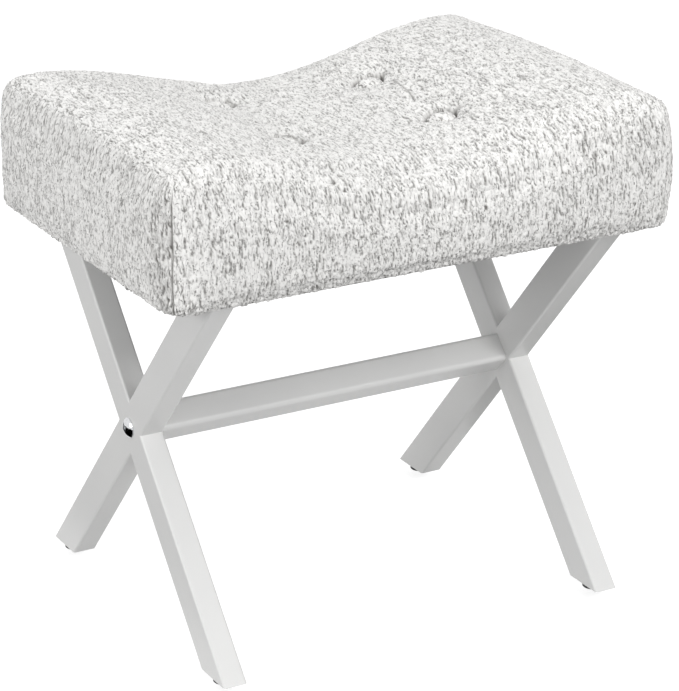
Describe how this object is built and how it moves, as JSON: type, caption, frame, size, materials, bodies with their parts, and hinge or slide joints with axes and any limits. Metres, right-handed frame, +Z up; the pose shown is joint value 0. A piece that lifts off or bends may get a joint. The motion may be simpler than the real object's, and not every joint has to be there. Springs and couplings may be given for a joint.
{
  "type": "vanity stool",
  "caption": "Backless vanity stool: button-tufted saddle cushion on welded X-shaped side frames joined by a bolted stretcher, on screw-in levelling feet.",
  "frame": {"origin": "on the floor, below the middle of the seat", "axes": "+Z up, +X along the seat's long side and the stretcher, -Y towards the front"},
  "size_m": [0.442, 0.329, 0.4224],
  "materials": {
    "powder_coat": "satin",
    "zinc_steel": "satin",
    "chrome_bolt": "polished",
    "black_plastic": "matte",
    "board": "matte",
    "foam": "matte",
    "looped_cloth": "matte",
    "lining_cloth": "matte",
    "twine": "matte"
  },
  "bodies": {
    "stool": {"dust_cover": "lining_cloth", "hem_staples": "zinc_steel", "left_back_leg_plate": "powder_coat", "left_front_leg_plate": "powder_coat", "left_long_leg": "powder_coat", "left_lower_half_leg": "powder_coat", "left_rail": "powder_coat", "left_upper_half_leg": "powder_coat", "right_back_leg_plate": "powder_coat", "right_front_leg_plate": "powder_coat", "right_long_leg": "powder_coat", "right_lower_half_leg": "powder_coat", "right_rail": "powder_coat", "right_upper_half_leg": "powder_coat", "seat_board": "board", "seat_cover": "looped_cloth", "seat_foam": "foam", "seat_screws": "zinc_steel", "seat_washers": "zinc_steel", "stretcher_left_bolt": "chrome_bolt", "stretcher_left_plug": "zinc_steel", "stretcher_right_bolt": "chrome_bolt", "stretcher_right_plug": "zinc_steel", "stretcher_tube": "powder_coat", "tee_nuts": "zinc_steel", "tuft_button_left_back": "looped_cloth", "tuft_button_left_front": "looped_cloth", "tuft_button_right_back": "looped_cloth", "tuft_button_right_front": "looped_cloth", "tufting_twine": "twine", "twine_anchors": "zinc_steel"},
    "left_back_foot": {"left_back_foot_pad": "black_plastic", "left_back_foot_stud": "zinc_steel"},
    "left_front_foot": {"left_front_foot_pad": "black_plastic", "left_front_foot_stud": "zinc_steel"},
    "right_back_foot": {"right_back_foot_pad": "black_plastic", "right_back_foot_stud": "zinc_steel"},
    "right_front_foot": {"right_front_foot_pad": "black_plastic", "right_front_foot_stud": "zinc_steel"}
  },
  "joints": [
    {"name": "left_back_foot_screw", "type": "slide", "parent": "stool", "child": "left_back_foot", "axis": [0, 0, -1], "range_m": [0, 0.006]},
    {"name": "left_front_foot_screw", "type": "slide", "parent": "stool", "child": "left_front_foot", "axis": [0, 0, -1], "range_m": [0, 0.006]},
    {"name": "right_back_foot_screw", "type": "slide", "parent": "stool", "child": "right_back_foot", "axis": [0, 0, -1], "range_m": [0, 0.006]},
    {"name": "right_front_foot_screw", "type": "slide", "parent": "stool", "child": "right_front_foot", "axis": [0, 0, -1], "range_m": [0, 0.006]}
  ]
}
